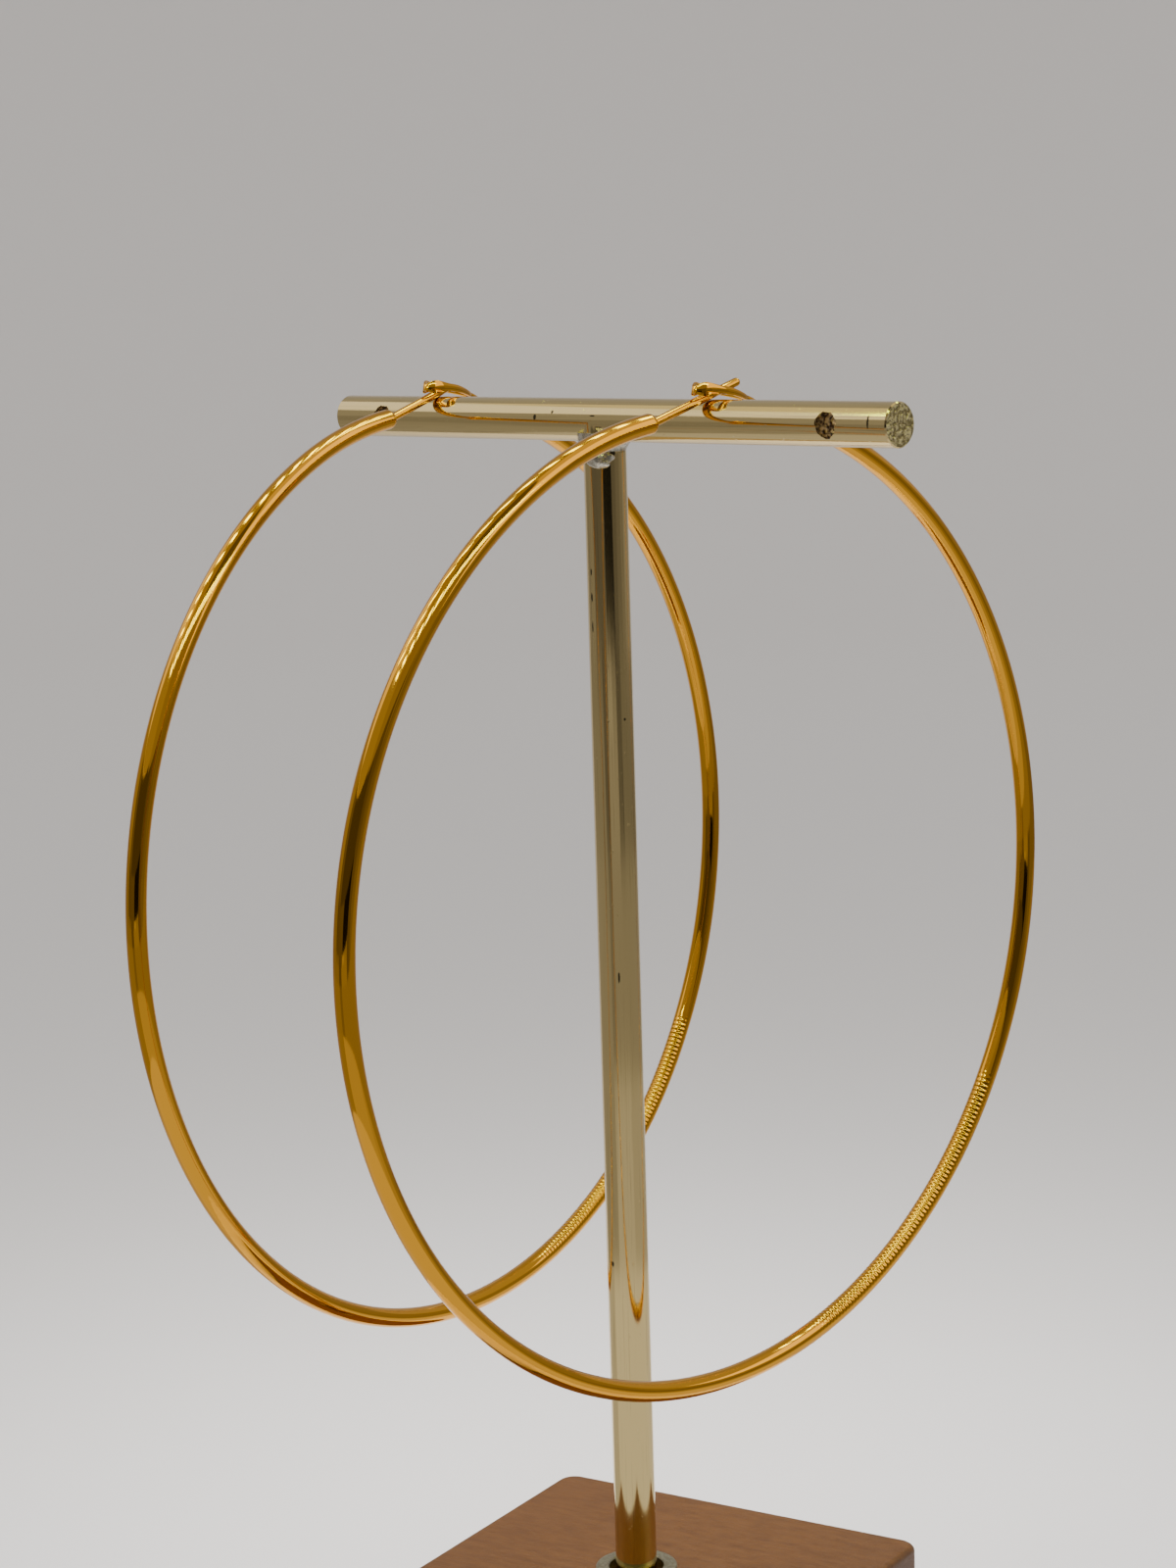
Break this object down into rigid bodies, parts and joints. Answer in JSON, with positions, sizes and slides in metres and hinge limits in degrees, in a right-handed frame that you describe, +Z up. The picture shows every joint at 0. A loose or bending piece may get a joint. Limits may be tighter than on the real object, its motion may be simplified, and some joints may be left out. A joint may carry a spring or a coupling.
{
  "type": "pair of hoop earrings on t-bar stand",
  "caption": "Pair of large thin tube hoop earrings with wire and catch closures, hanging on a T-bar display stand of round rod with a square wooden base.",
  "frame": {"origin": "centre of the wooden base's underside, on the post's axis", "axes": "+Z up along the post, +X along the cross bar towards the front earring, Y along the hoops' diameter"},
  "size_m": [0.0732, 0.0964, 0.1376],
  "materials": {
    "gold": "polished gold plate, mirror bright",
    "pale_brass": "polished pale brass rod with fine scratches and pits",
    "aged_metal": "dull olive metal",
    "wood": "fine-grained reddish brown hardwood, satin"
  },
  "bodies": {
    "root": {"front_hoop_tube": "gold", "front_ear_wire": "gold", "front_catch": "gold", "rear_hoop_tube": "gold", "rear_ear_wire": "gold", "rear_catch": "gold", "stand_rod": "pale_brass", "base_ferrule": "aged_metal", "wood_base": "wood"}
  },
  "joints": []
}
